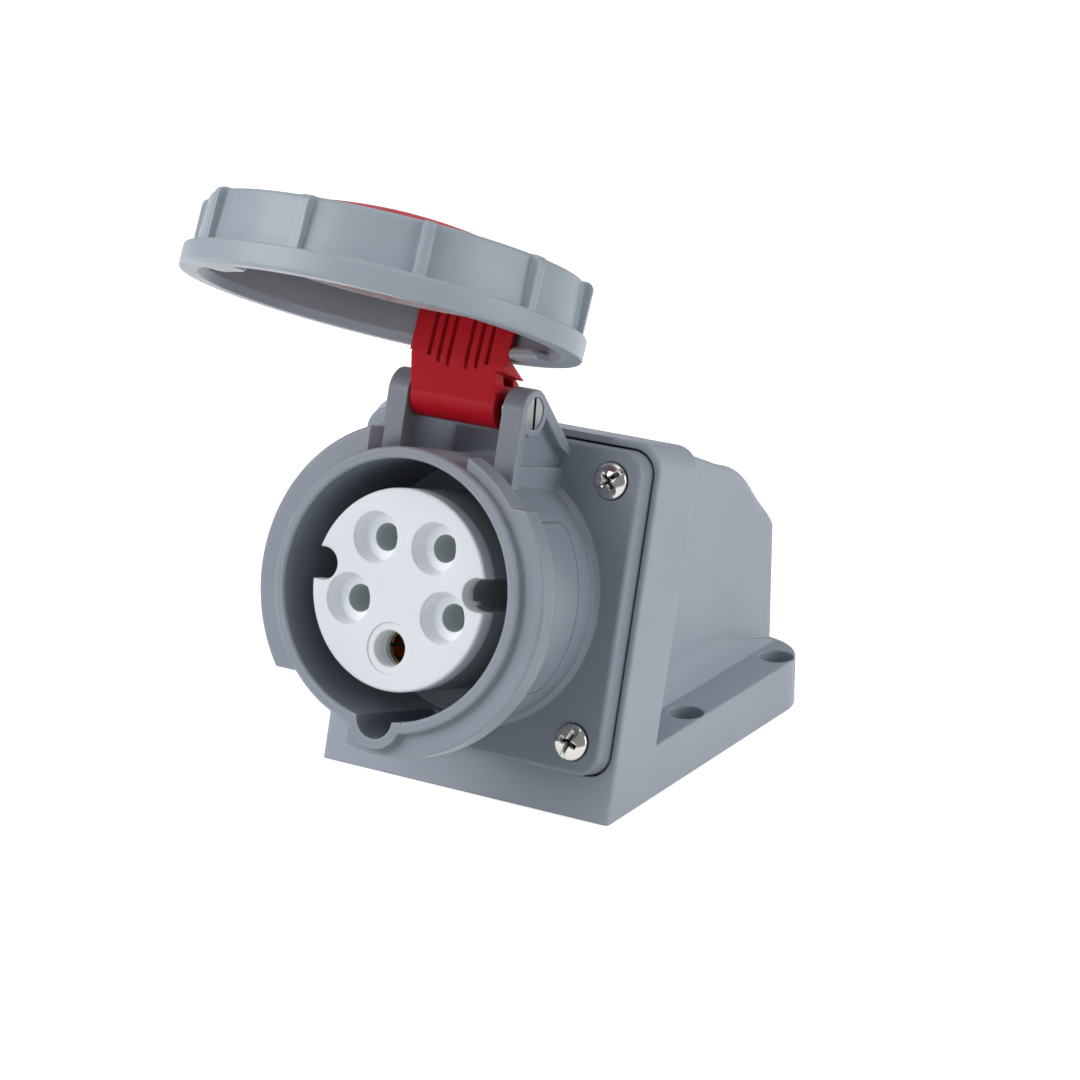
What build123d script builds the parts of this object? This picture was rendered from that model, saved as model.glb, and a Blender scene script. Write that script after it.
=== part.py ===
"""Surface-mounted industrial power socket, 5 poles, with a hinged watertight lid."""
import os
from math import atan2, cos, degrees, radians, sin, sqrt, tan

from build123d import *

# Wall box. The origin is the centre of the four wall holes, on the wall plane, +Z out of the wall.
bolt_edge_distance = 5.5
bolt_spacing_y = 50.2
bolt_hole_radius = 2.75
bolt_head_radius = 4.8
bolt_head_depth = 6.5
box_width = 87.4
front_to_bolts = 74.4
bolts_to_rear = 38.8
foot_height = 13.5
foot_corner_radius = 17.0
wall = 3.0
front_tilt = 15.8
frame_height = 96.8
frame_depth = 20.0
frame_corner_radius = 7.0
body_width = 57.6
shoulder_y = 11.8
shoulder_z = 69.6
rear_wall_top = 47.8
crown_rise = 4.2
crown_width = 50.0
edge_rounding = 1.0
flare_width = 2.7
flare_height = 8.5
flare_run = 81.0
flare_taper = 29.0

# Socket flange and its seat, measured from the socket's axis.
socket_height = 53.1
flange_border = 2.3
flange_corner_radius = 6.0
flange_proud = 6.0
flange_gap = 0.55
seat_depth = 3.0
gasket_thickness = 1.5
screw_inset = 8.15
screw_radius = 2.4
screw_head_radius = 4.6
screw_head_height = 2.7
screw_length = 19.0
boss_size = 9.0
gasket_band = 4.9

# Barrel and shroud. Heights are above the box's front plane, along the socket's axis.
bore_radius = 32.5
shroud_wall = 2.9
barrel_base_radius = 34.0
shroud_height = 47.1
floor_height = 7.5
keyway_radius = 5.2
keyway_center = 32.0
keyway_wall = 2.5
lug_radius = 41.5
lug_front = 44.6
lug_thickness = 6.2
lug_track_depth = 1.2
lug_track_right = (-8, 46)
lug_track_left = (178, 222)
lug_ramp = 0.9
gap_left_edge = 14.8
gap_right_edge = 14.4
lug_end_height = 25.2
lug_foot_edge = 8.8
step_radius = 38.2
panel_half_angle = 36.0
panel_start = 15.0
panel_groove = 0.45

# Insert with its five contacts.
insert_radius = 25.2
insert_height = 44.9
cap_thickness = 5.0
contact_circle_radius = 14.6
pin_hole_radius = 3.5
earth_hole_radius = 4.55
well_radius = 6.4
well_depth = 5.5
well_wall = 0.8
throat_wall = 1.0
phase_throat_depth = 18.9
sleeve_seat = 1.2
channel_radius = 4.15
channel_center = 22.6
channel_offset = 2.8
drum_clearance = 0.25
carrier_flange_radius = 33.0
carrier_flange_thickness = 2.9
carrier_rear = 10.0
carrier_rear_radius = 23.0
carrier_screw_radius = 1.5
carrier_screw_circle = 30.0
phase_pin_radius = 3.0
earth_pin_radius = 4.0
sleeve_wall = 1.4
sleeve_fit = 0.05
slit_width = 0.8
slit_length = 15.0
terminal_wall = 2.4
terminal_length = 17.0
terminal_screw_radius = 1.75
terminal_turn = 12.0
contact_bore_length = 22.0
wire_hole_depth = 11.0
terminal_screw_setback = 5.0

# Hinge. The pin lies along X, up the slope from the socket's axis.
hinge_rise = 47.6
hinge_height = 25.4
ear_radius = 6.0
ear_inner = 14.0
ear_thickness = 6.0
ear_web = 3.0
ear_leg = 3.2
pin_radius = 2.25
pin_head_radius = 4.0
pin_head_length = 2.2
running_clearance = 0.05

# Lid. It is laid out shut on the socket and then turned open about the hinge pin.
open_angle = 99.7
ring_mouth = 36.5
ring_depth = 18.6
ring_inner_radius = 43.4
ring_band_radius = 49.4
ring_band_height = 5.8
ring_wall_radius = 46.6
ring_top_radius = 46.0
ring_lip_radius = 39.6
ring_lip_thickness = 1.9
rib_count = 10
rib_phase = 22.8
rib_width = 3.2
rib_taper = 0.25
rib_rise = 2.0
ring_lug_angle = 58.8
ring_lug_half_angle = 10.0
ring_lug_inner = 38.8
ring_lug_thickness = 2.6
disc_clearance = 0.4
disc_edge_thickness = 2.0
disc_crown = 6.4
cover_wall = 2.2
lid_gasket_gap = 0.3
lid_gasket_inner = 29.0
lid_gasket_lip = 2.0
lid_gasket_lip_depth = 2.4
keyway_gap = 0.8
neck_inner_radius = 38.4
neck_half_width = 14.2
neck_low_half_width = 13.6
knuckle_radius = 5.5
knuckle_right = 11.2
spring_room = 7.6
neck_groove_count = 3
neck_land_width = 4.2
neck_groove_pitch = 2.9
neck_groove_width = 1.1
neck_groove_depth = 1.1
spring_coil_radius = 3.6
spring_wire_radius = 0.4
spring_turns = 1.5

# Cable entry in the rear wall, shut by a blanking plug.
entry_radius = 12.5
entry_height = 29.0
plug_flange_radius = 15.0
plug_flange_thickness = 3.0
plug_length = 9.0
entry_pad = 1.0

# Sizes that follow from those above.
tilt = radians(front_tilt)
half_width = box_width / 2
bolt_spacing_x = box_width - 2 * bolt_edge_distance
flange_size = box_width - 2 * flange_border
screw_pitch = flange_size - 2 * screw_inset
cavity_size = flange_size - 2 * gasket_band
body_half = body_width / 2
flange_half = flange_size / 2
screw_place = screw_pitch / 2
front_y = -front_to_bolts
shroud_outer = bore_radius + shroud_wall
lug_rear = lug_front - lug_thickness
cap_rear = insert_height - cap_thickness
well_end = insert_height - well_depth - 2.0
phase_throat_end = insert_height - phase_throat_depth
ring_top = ring_mouth + ring_depth
contact_angles = {"l1": 198, "l2": 126, "l3": 54, "neutral": 342, "earth": 270}


def on_slope(rise, height):
    """Row-frame Y and Z of a point on the tilted front, up the slope and out along the axis."""
    y = front_y + rise * sin(tilt) - height * cos(tilt)
    z = rise * cos(tilt) + height * sin(tilt)
    return y, z


center_y, center_z = on_slope(socket_height, 0)
socket_plane = Plane(origin=(0, center_y, center_z), x_dir=(1, 0, 0), z_dir=(0, -cos(tilt), sin(tilt)))
pin_y, pin_z = on_slope(socket_height + hinge_rise, hinge_height)
pin_axis = Axis((0, pin_y, pin_z), (1, 0, 0))


def placed(shape):
    """Moves a shape from the socket's own frame to the row frame."""
    return socket_plane.location * shape


def opened(shape):
    """Moves a shape of the shut lid to the row frame and turns it open."""
    return placed(shape).rotate(pin_axis, -open_angle)


def prism(sketch, low, high):
    """Extrudes a sketch of the XY plane between two heights."""
    return extrude(Pos(0, 0, low) * sketch, amount=high - low)


def side_prism(points, x_low, x_high):
    """Extrudes an outline of Y, Z points between two X values."""
    outline = Plane.YZ * make_face(Polyline(*points, close=True))
    return extrude(Pos(x_low, 0, 0) * outline, amount=x_high - x_low)


def disc(radius, low, high, x=0.0, y=0.0):
    return prism(Pos(x, y) * Circle(radius), low, high)


def tube(outer, inner, low, high):
    return prism(Circle(outer) - Circle(inner), low, high)


def sector(outer, inner, low, high, middle, half_angle):
    """A piece of a tube, half_angle degrees each side of a middle direction."""
    reach = outer * 1.5
    spread = reach * tan(radians(half_angle))
    wedge = make_face(Polyline((0, 0), (reach, -spread), (reach, spread), close=True))
    return prism((Circle(outer) - Circle(inner)) & Rot(0, 0, middle) * wedge, low, high)


def corners(pitch):
    return [(x * pitch / 2, y * pitch / 2) for x in (-1, 1) for y in (-1, 1)]


def polar(radius, angle):
    return radius * cos(radians(angle)), radius * sin(radians(angle))


def cavity_sketch(size):
    """Square opening with a solid pad left in each corner for the flange screws."""
    opening = RectangleRounded(size, size, 3.0)
    pad = RectangleRounded(2 * boss_size, 2 * boss_size, 3.0)
    reach = size / 2
    for x, y in corners(2 * reach):
        opening -= Pos(x, y) * pad
    return opening


def make_back_box():
    """Hollow wall box: tilted front frame, body behind it and foot, one moulding."""
    base = -socket_height - frame_depth
    frame_top = frame_height - socket_height
    front = Pos(0, (frame_top + base) / 2) * RectangleRounded(
        box_width, frame_top - base, frame_corner_radius)
    frame = prism(front, -frame_depth, 0)
    frame = fillet(frame.edges().group_by(Axis.Z)[-1], edge_rounding)
    frame = placed(fillet(frame.edges().group_by(Axis.Z)[0], edge_rounding * 0.7))

    rear_y = bolts_to_rear
    rear_top_y, rear_top_z = on_slope(frame_height, -frame_depth)
    front_top_y, front_top_z = on_slope(frame_height, 0)
    toe_y, toe_z = on_slope(0, -frame_depth / 2)
    side = [(toe_y, 0), (rear_y, 0), (rear_y, rear_wall_top), (shoulder_y, shoulder_z),
            (rear_top_y, rear_top_z), (front_top_y, front_top_z)]
    body = side_prism(side, -body_half, body_half)

    # The roof's rear slope bulges between the two side walls and ends flat at each of them.
    slope = atan2(shoulder_z - rear_wall_top, rear_y - shoulder_y)

    def crown_face(x, rise):
        mid_y = (rear_y + shoulder_y) / 2 + rise * sin(slope)
        mid_z = (rear_wall_top + shoulder_z) / 2 + rise * cos(slope)
        outline = ThreePointArc((shoulder_y, shoulder_z), (mid_y, mid_z), (rear_y, rear_wall_top))
        outline += Polyline((rear_y, rear_wall_top), (shoulder_y, rear_wall_top), (shoulder_y, shoulder_z))
        return Pos(x, 0, 0) * (Plane.YZ * make_face(outline))

    crown = extrude(crown_face(-crown_width / 2, crown_rise), amount=crown_width)
    for hand in (-1, 1):
        faces = [crown_face(hand * crown_width / 2, crown_rise), crown_face(hand * body_half, 0.05)]
        crown += loft(faces, ruled=True)

    body = fillet(roof_edges(body + crown), edge_rounding * 1.5)
    foot_start = front_y + frame_depth / 2
    plan = Pos(0, (rear_y + foot_start) / 2) * Rectangle(box_width, rear_y - foot_start)
    plan = fillet(plan.vertices().group_by(Axis.Y)[-1], foot_corner_radius)
    foot = prism(plan, 0, foot_height)
    foot = fillet(foot.edges().group_by(Axis.Z)[-1], edge_rounding * 0.6)

    # The side walls spread towards the foot, less and less towards the rear.
    flare = make_flare()

    shell = frame + body + foot + flare + mirror(flare, Plane.YZ)
    reach = 3 * box_width
    ahead = placed(prism(Rectangle(reach, reach), 0, reach))
    below = prism(Rectangle(reach, reach), -reach, 0)
    shell = shell - ahead - below

    # Hollow: a square well behind the flange and a room that follows the body.
    seat = RectangleRounded(
        flange_size + 2 * flange_gap, flange_size + 2 * flange_gap, flange_corner_radius + flange_gap)
    well_floor = frame_depth - wall
    shell -= placed(prism(seat, -seat_depth, 1))
    shell -= placed(prism(cavity_sketch(cavity_size), -well_floor, 0))
    room_face = offset(make_face(Polyline(*side, close=True)), -wall)
    room = extrude(Pos(wall - body_half, 0, 0) * (Plane.YZ * room_face), amount=body_width - 2 * wall)
    in_front = placed(prism(Rectangle(reach, reach), -well_floor + 1, reach))
    shell -= room - in_front

    for x, y in corners(screw_pitch):
        shell -= placed(disc(screw_radius + running_clearance, -well_floor + 1, 0, x, y))
    for x in (-bolt_spacing_x / 2, bolt_spacing_x / 2):
        for y in (-bolt_spacing_y / 2, bolt_spacing_y / 2):
            shell -= disc(bolt_hole_radius, -1, foot_height + 1, x, y)
            shell -= disc(bolt_head_radius, foot_height - bolt_head_depth, foot_height + 1, x, y)
        shell -= foot_pocket(x)
    return shell + entry_ring() - entry_hole()


def roof_edges(block):
    """Long edges where the body's roof meets its side walls."""
    found = []
    for edge in block.edges():
        middle = edge.center()
        at_wall = abs(abs(middle.X) - body_half) < 0.1
        on_roof = middle.Z > rear_wall_top and middle.Y > front_y + 2 * frame_depth
        if at_wall and on_roof and edge.length > 20:
            found.append(edge)
    return found


def make_flare():
    """Curved skirt at the bottom of the right side wall."""
    x_in = body_half
    x_out = body_half + flare_width
    top = foot_height + flare_height
    section = make_face(
        Polyline((x_out, foot_height - 1), (x_in - 1, foot_height - 1), (x_in - 1, top), (x_in, top))
        + ThreePointArc(
            (x_in, top),
            (x_in + 0.3 * flare_width, foot_height + 0.45 * flare_height),
            (x_out, foot_height))
        + Line((x_out, foot_height), (x_out, foot_height - 1)))
    start_y = front_y + frame_depth
    straight_end = front_y + flare_run
    tail_end = straight_end + flare_taper
    skirt = extrude(Plane.XZ.offset(-tail_end) * section, amount=tail_end - start_y)
    cut = side_prism(
        [(straight_end, top), (tail_end, foot_height + 0.5), (tail_end + 1, top + 1),
         (straight_end, top + 1)], x_in - 2, x_out + 1)
    return skirt - cut


def foot_pocket(x):
    """Open pocket under the foot between two wall holes."""
    length = bolt_spacing_y - 2 * (bolt_head_radius + wall)
    outer = half_width - wall
    inner = body_half + wall
    middle = (outer + inner) / 2 * (1 if x > 0 else -1)
    return prism(Pos(middle, 0) * RectangleRounded(outer - inner, length, 1.5), -1, foot_height - wall)


def rear_disc(radius, start, end):
    """Disc on the cable entry's axis, between two distances behind the rear wall."""
    plane = Plane(origin=(0, bolts_to_rear + start, entry_height), x_dir=(-1, 0, 0), z_dir=(0, 1, 0))
    return extrude(plane * Circle(radius), amount=end - start)


def entry_ring():
    return rear_disc(plug_flange_radius + 1, -wall, entry_pad)


def entry_hole():
    return rear_disc(entry_radius, -2 * wall, entry_pad + 1)


def make_cover_gasket():
    """Flat gasket between the box and the socket flange."""
    size = flange_size + flange_gap
    ring = RectangleRounded(size, size, flange_corner_radius) - cavity_sketch(cavity_size)
    for x, y in corners(screw_pitch):
        ring -= Pos(x, y) * Circle(screw_radius + 0.3)
    return placed(prism(ring, -seat_depth, gasket_thickness - seat_depth))


def barrel_radius_at(height):
    """Outer radius of the barrel's cone at a height above the box's front plane."""
    low = flange_proud + 1.2
    share = (height - low) / (lug_rear - 0.5 - low)
    return barrel_base_radius + (shroud_outer - barrel_base_radius) * share


def barrel_profile():
    """Half section of the barrel, floor and shroud, as radius and height."""
    points = [(insert_radius + drum_clearance, floor_height), (bore_radius, floor_height),
              (bore_radius, shroud_height - 0.5), (bore_radius + 0.5, shroud_height),
              (shroud_outer - 0.5, shroud_height), (shroud_outer, shroud_height - 0.5),
              (shroud_outer, lug_rear - 0.5), (barrel_base_radius, flange_proud + 1.2),
              (barrel_base_radius + 1.2, flange_proud), (barrel_base_radius + 1.2, wall),
              (insert_radius + drum_clearance, wall)]
    return Plane.XZ * make_face(Polyline(*points, close=True))


def make_lugs():
    """Two bayonet lugs outside the shroud and the low step beside the hinge gap."""
    full = Circle(lug_radius)
    reach = 2 * lug_radius
    left = full & (Pos(-gap_left_edge - reach / 2, reach / 2 - lug_end_height) * Rectangle(reach, reach))
    right = full & (Pos(reach / 2 - lug_foot_edge, lug_end_height - reach / 2) * Rectangle(reach, reach))
    step = Circle(step_radius) & (Pos(gap_right_edge + reach / 2, reach / 2) * Rectangle(reach, reach))
    lugs = prism(left, lug_rear, lug_front) + prism(right, lug_rear, lug_front)
    round_edges = lugs.edges().filter_by(GeomType.CIRCLE).group_by(Axis.Z)[-1]
    lugs = fillet(round_edges, 0.8)

    # Behind each lug the ring's own lug slides in as far as a step that stops it.
    track_high = lug_rear + lug_track_depth
    for start, end in (lug_track_right, lug_track_left):
        lugs -= sector(lug_radius + 1, step_radius, lug_rear - 1, track_high,
                       (start + end) / 2, (end - start) / 2)
        ramp = Box(12, 14, 2 * lug_ramp)
        lugs -= Rot(0, 0, end - 4) * Pos(lug_radius, 0, track_high) * Rot(6, 0, 0) * ramp
    return lugs + prism(step, lug_rear, lug_front)


def ear_outline():
    """Outline of a hinge ear, as rise and height: pin boss, front leg and slanting rear leg."""
    rear_foot = (hinge_rise - 5.3, flange_proud + 2.5)
    away = (rear_foot[0] - hinge_rise, rear_foot[1] - hinge_height)
    distance = sqrt(away[0] ** 2 + away[1] ** 2)
    swing = atan2(sqrt(distance ** 2 - ear_radius ** 2), ear_radius)
    tangent = polar(ear_radius, degrees(atan2(away[1], away[0]) + swing))
    touch = (hinge_rise + tangent[0], hinge_height + tangent[1])
    return rear_foot, touch


def make_ear():
    """Right hinge ear with its web, standing on the barrel and the flange."""
    rear_foot, touch = ear_outline()
    root = bore_radius - 7
    front_face = hinge_height + ear_radius
    full = [(root, front_face), (hinge_rise, front_face), (hinge_rise, hinge_height), touch, rear_foot,
            (rear_foot[0] - 1.5, flange_proud + 1), (rear_foot[0] - 4.8, flange_proud - 1),
            (root, flange_proud - 1)]
    boss = extrude(
        Plane.YZ * Pos(hinge_rise, hinge_height) * Circle(ear_radius), amount=ear_thickness)
    web = side_prism(full, 0, ear_web)
    front_leg = side_prism(
        [(root, front_face), (hinge_rise, front_face), (hinge_rise, front_face - ear_leg),
         (root, front_face - ear_leg)], 0, ear_thickness)
    along = (rear_foot[0] - touch[0], rear_foot[1] - touch[1])
    length = sqrt(along[0] ** 2 + along[1] ** 2)
    inward = (along[1] / length * ear_leg, -along[0] / length * ear_leg)
    rear_leg = side_prism(
        [touch, rear_foot, (rear_foot[0] - 1.5, flange_proud + 1), (rear_foot[0] - 4.8, flange_proud - 1),
         (rear_foot[0] + inward[0] - 2.5, flange_proud - 1),
         (rear_foot[0] + inward[0], rear_foot[1] + inward[1]),
         (touch[0] + inward[0], touch[1] + inward[1])], 0, ear_thickness)
    pad = side_prism(
        [(root, front_face - ear_leg), (shroud_outer - 1.2, front_face - ear_leg),
         (shroud_outer - 1.2, flange_proud - 1), (root, flange_proud - 1)], 0, ear_web + 1.5)
    ear = boss + web + front_leg + rear_leg + pad
    rim = [edge for edge in ear.edges() if edge.center().X > ear_thickness - 0.01 and edge.length > 9]
    return Pos(ear_inner, 0, 0) * fillet(rim, 0.5)


def x_cylinder(radius, x_low, x_high):
    """Cylinder on the hinge pin's axis in the socket's frame."""
    section = Pos(x_low, 0, 0) * (Plane.YZ * Pos(hinge_rise, hinge_height) * Circle(radius))
    return extrude(section, amount=x_high - x_low)


def make_socket_housing():
    """Flange, barrel, shroud with keyway, bayonet lugs and hinge ears, one moulding."""
    plate = prism(RectangleRounded(flange_size, flange_size, flange_corner_radius),
                  gasket_thickness - seat_depth, flange_proud)
    plate = fillet(plate.edges().group_by(Axis.Z)[-1], 1.2)
    plate -= prism(cavity_sketch(cavity_size), -seat_depth, wall)

    key_outer = keyway_radius + keyway_wall
    bump = disc(key_outer, flange_proud - 1, shroud_height, 0, -keyway_center)
    ear = make_ear()
    solid = plate + disc(barrel_base_radius, wall, floor_height) + bump + make_lugs()
    solid += ear + mirror(ear, Plane.YZ)
    solid += disc(barrel_base_radius, wall, lug_rear)
    solid -= disc(bore_radius, floor_height, shroud_height + 1)
    solid -= disc(insert_radius + drum_clearance, -seat_depth, floor_height + 1)
    solid += revolve(barrel_profile(), Axis.Z)

    key = Pos(0, -keyway_center) * Circle(keyway_radius)
    key += Pos(0, -keyway_center / 2 - 8) * Rectangle(2 * keyway_radius, keyway_center - 16)
    solid -= prism(key, floor_height + 4, shroud_height + 1) - disc(insert_radius + 2, 0, shroud_height)
    solid -= make_panel_groove()

    ear_outer = ear_inner + ear_thickness
    solid -= x_cylinder(pin_radius + running_clearance, -ear_outer - 1, ear_outer + 1)
    solid -= x_cylinder(pin_head_radius + 0.1, ear_outer - pin_head_length, ear_outer + 1)
    for x, y in corners(screw_pitch):
        solid -= disc(screw_radius + 0.35, -seat_depth, flange_proud + 1, x, y)
        solid -= disc(screw_head_radius + 0.3, flange_proud - 0.4, flange_proud + 1, x, y)
    for index in range(3):
        x, y = polar(carrier_screw_circle, 30 + 120 * index)
        solid -= disc(carrier_screw_radius + running_clearance, wall - 1, floor_height - 0.9, x, y)
    return placed(solid)


def make_panel_groove():
    """Thin groove round the plain marking panel on the right of the barrel."""
    mean = (barrel_base_radius + shroud_outer) / 2
    half = radians(panel_half_angle)
    length = 2 * half * mean
    end = lug_rear - 1.6
    mid = (panel_start + end) / 2
    outer = RectangleRounded(length, end - panel_start, 3.0)
    inner = RectangleRounded(length - 2 * panel_groove, end - panel_start - 2 * panel_groove, 2.6)
    flat = Plane(origin=(0, 0, mid), x_dir=(0, 1, 0), z_dir=(1, 0, 0)) * (outer - inner)
    band = tube(mean + 3, mean - 0.5, panel_start - 1, end + 1)
    return extrude(flat, amount=mean + 4) & band


def make_contact_face():
    """White cap of the insert with a well for each pin."""
    cap = disc(insert_radius, cap_rear, insert_height)
    cap = chamfer(cap.edges().group_by(Axis.Z)[-1], 0.4)
    for name, angle in contact_angles.items():
        x, y = polar(contact_circle_radius, angle)
        end = throat_end(name)
        cap += disc(well_radius + well_wall, well_end, cap_rear + 0.5, x, y)
        cap += disc(throat_radius(name), end - sleeve_seat, well_end + 0.5, x, y)
        cap -= disc(sleeve_radius(name) + sleeve_fit, end - sleeve_seat - 1, end, x, y)
        if name == "earth":
            cap -= disc(earth_hole_radius, end - 1, insert_height + 1, x, y)
            cap -= disc(well_radius, insert_height - 0.25, insert_height + 1, x, y)
        else:
            cap -= disc(pin_hole_radius, end - 1, insert_height + 1, x, y)
            bottom = insert_height - well_depth
            cap -= Pos(x, y, bottom + well_depth / 2) * Cone(well_radius - 0.5, well_radius, well_depth)
    return placed(cap - channels(cap_rear - 1, insert_height + 1))


def throat_end(name):
    """Height at which the white wall of a pin's hole ends and its sleeve begins."""
    return well_end if name == "earth" else phase_throat_end


def throat_radius(name):
    """Outer radius of the white tube that guides a pin and holds the front of its sleeve."""
    return sleeve_radius(name) + sleeve_fit + throat_wall


def channels(low, high):
    """The two side channels of the insert, open outwards."""
    cut = Circle(channel_radius)
    cut += Pos(channel_radius, 0) * Rectangle(2 * channel_radius, 2 * channel_radius)
    right = prism(Pos(channel_center, channel_offset) * cut, low, high)
    return right + mirror(right, Plane.YZ)


def sleeve_radius(name):
    pin = earth_pin_radius if name == "earth" else phase_pin_radius
    return pin + sleeve_fit + sleeve_wall


def make_contact_carrier():
    """Dark insert body that carries the contacts, with its flange behind the floor."""
    body = disc(insert_radius - 0.1, wall - 1, cap_rear)
    body += disc(carrier_flange_radius, wall - carrier_flange_thickness, wall)
    body += disc(carrier_rear_radius, -carrier_rear, wall)
    body -= channels(floor_height + 3, cap_rear + 1)
    body -= tube(insert_radius + 2.8, insert_radius + 1.2, wall - 1.2, wall + 1)
    for name, angle in contact_angles.items():
        x, y = polar(contact_circle_radius, angle)
        outer = sleeve_radius(name)
        end = throat_end(name)
        body -= disc(well_radius + well_wall + 0.1, well_end - 0.1, cap_rear + 1, x, y)
        body -= disc(throat_radius(name) + sleeve_fit, end - sleeve_seat - 0.1, cap_rear + 1, x, y)
        body -= disc(outer + 0.9, end - 8, end, x, y)
        body -= disc(outer + sleeve_fit, -carrier_rear - 1, cap_rear, x, y)
        body -= disc(outer + terminal_wall - sleeve_wall + sleeve_fit, -carrier_rear - 1, -1, x, y)
    for index in range(3):
        x, y = polar(carrier_screw_circle, 30 + 120 * index)
        body -= disc(carrier_screw_radius + 0.2, -1, wall + 1, x, y)
    return placed(body)


def make_sleeve(name):
    """Slit brass sleeve with its screw terminal, one turned piece."""
    x, y = polar(contact_circle_radius, contact_angles[name])
    outer = sleeve_radius(name)
    inner = outer - sleeve_wall
    block = outer + terminal_wall - sleeve_wall
    front = throat_end(name) - 0.2
    rear = -1 - terminal_length
    body = disc(outer, -2, front) + disc(block, rear, -1)
    body -= disc(inner, front - contact_bore_length, front + 1)
    body -= Pos(0, 0, front - slit_length / 2) * Box(3 * outer, slit_width, slit_length)
    body -= Pos(0, 0, front - slit_length / 2) * Box(slit_width, 3 * outer, slit_length)
    body -= tube(outer + 1, outer - 0.35, front - 3.4, front - 2.4)
    body -= disc(block - terminal_wall, rear - 1, rear + wire_hole_depth)
    hole = Rot(0, 90, 0) * Cylinder(terminal_screw_radius + running_clearance, block + 2, align=NEAR)
    turn = contact_angles[name] + terminal_turn
    body -= Pos(0, 0, rear + terminal_screw_setback) * Rot(0, 0, turn) * hole
    return placed(Pos(x, y, 0) * body)


NEAR = (Align.CENTER, Align.CENTER, Align.MIN)


def make_sleeve_rings():
    """Spring rings that close the slit sleeves, one group of separate rings."""
    rings = []
    for name, angle in contact_angles.items():
        x, y = polar(contact_circle_radius, angle)
        outer = sleeve_radius(name)
        front = throat_end(name) - 0.2
        ring = tube(outer + 0.5, outer - 0.3, front - 3.3, front - 2.5)
        ring -= Pos(outer, 0, front - 3) * Box(2.5, 1.2, 3)
        rings.append(placed(Pos(x, y, 0) * Rot(0, 0, angle + 45) * ring))
    return Compound(rings)


def make_terminal_screws():
    """Clamp screws of the five terminals, each pointing at its wire."""
    screws = []
    for name, angle in contact_angles.items():
        x, y = polar(contact_circle_radius, angle)
        block = sleeve_radius(name) + terminal_wall - sleeve_wall
        inner = block - terminal_wall
        length = terminal_wall + 2.6
        screw = Cylinder(terminal_screw_radius, length, align=NEAR)
        screw -= Pos(0, 0, length) * Box(5, 0.7, 1.8)
        screw = Pos(inner - 1.0, 0, 0) * Rot(0, 90, 0) * screw
        lift = -1 - terminal_length + terminal_screw_setback
        screws.append(placed(Pos(x, y, lift) * Rot(0, 0, angle + terminal_turn) * screw))
    return Compound(screws)


def make_carrier_screws():
    """Three screws that hold the insert to the housing from behind."""
    screws = []
    rear = wall - carrier_flange_thickness
    for index in range(3):
        x, y = polar(carrier_screw_circle, 30 + 120 * index)
        screw = disc(carrier_screw_radius, rear, floor_height - 1.0, x, y)
        screw += disc(2 * carrier_screw_radius, rear - 1.8, rear, x, y)
        screw -= Pos(x, y, rear - 1.8) * Box(7, 0.7, 1.6)
        screws.append(placed(screw))
    return Compound(screws)


def make_insert_seal():
    """Ring seal in the groove of the carrier's flange."""
    return placed(tube(insert_radius + 2.7, insert_radius + 1.3, wall - 1.2, wall))


def make_flange_screws():
    """Four pan-head screws with slot and cross recess."""
    profile = Polyline((0, 0), (screw_head_radius, 0), (screw_head_radius, 0.9))
    crown = screw_head_radius * 0.45
    profile += ThreePointArc(
        (screw_head_radius, 0.9), (0.82 * screw_head_radius, 0.8 * screw_head_height),
        (crown, screw_head_height))
    profile += Polyline((crown, screw_head_height), (0, screw_head_height), (0, 0))
    head = revolve(Plane.XZ * make_face(profile), Axis.Z)
    head -= Pos(0, 0, screw_head_height) * Box(12, 1.1, 2.0)
    head -= Pos(0, 0, screw_head_height) * Box(1.2, 5.2, 3.4)
    head -= Pos(0, 0, screw_head_height) * Box(5.2, 1.2, 3.4)
    head += Pos(0, 0, -screw_length) * Cylinder(screw_radius, screw_length, align=NEAR)
    turns = {(1, 1): 38, (1, -1): -38, (-1, 1): 70, (-1, -1): 15}
    seat = flange_proud - 0.4
    screws = []
    for (side, level), turn in turns.items():
        place = Pos(side * screw_place, level * screw_place, seat)
        screws.append(placed(place * Rot(0, 0, turn) * head))
    return Compound(screws)


def make_hinge_pin():
    """Headed pin through both ears, slotted at the right end."""
    ear_outer = ear_inner + ear_thickness
    pin = x_cylinder(pin_radius, -ear_outer + 0.2, ear_outer - 0.2)
    pin += x_cylinder(pin_head_radius, ear_outer - pin_head_length, ear_outer - 0.2)
    slot = Pos(ear_outer, hinge_rise, hinge_height) * Rot(8, 0, 0) * Box(2.2, 3 * pin_head_radius, 1.1)
    return placed(pin - slot)


def make_hinge_spring():
    """Torsion spring round the pin, between the lid's knuckle and the right ear."""
    height = 2 * spring_wire_radius * spring_turns * 1.12
    start = ear_inner - height - spring_wire_radius
    helix = Helix(pitch=height / spring_turns, height=height, radius=spring_coil_radius)
    section = Plane(origin=helix @ 0, z_dir=helix % 0) * Circle(spring_wire_radius)
    coil = sweep(section, path=helix)
    leg_end = helix @ 0
    leg = Plane(origin=leg_end, z_dir=(0, -1, 0)) * Circle(spring_wire_radius)
    barrel_radius = barrel_radius_at(hinge_height - spring_coil_radius + spring_wire_radius)
    reach = sqrt(barrel_radius ** 2 - (start - spring_wire_radius) ** 2)
    coil += extrude(leg, amount=hinge_rise - reach)
    return placed(Pos(start, hinge_rise, hinge_height) * Rot(0, 90, 0) * coil)


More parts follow.
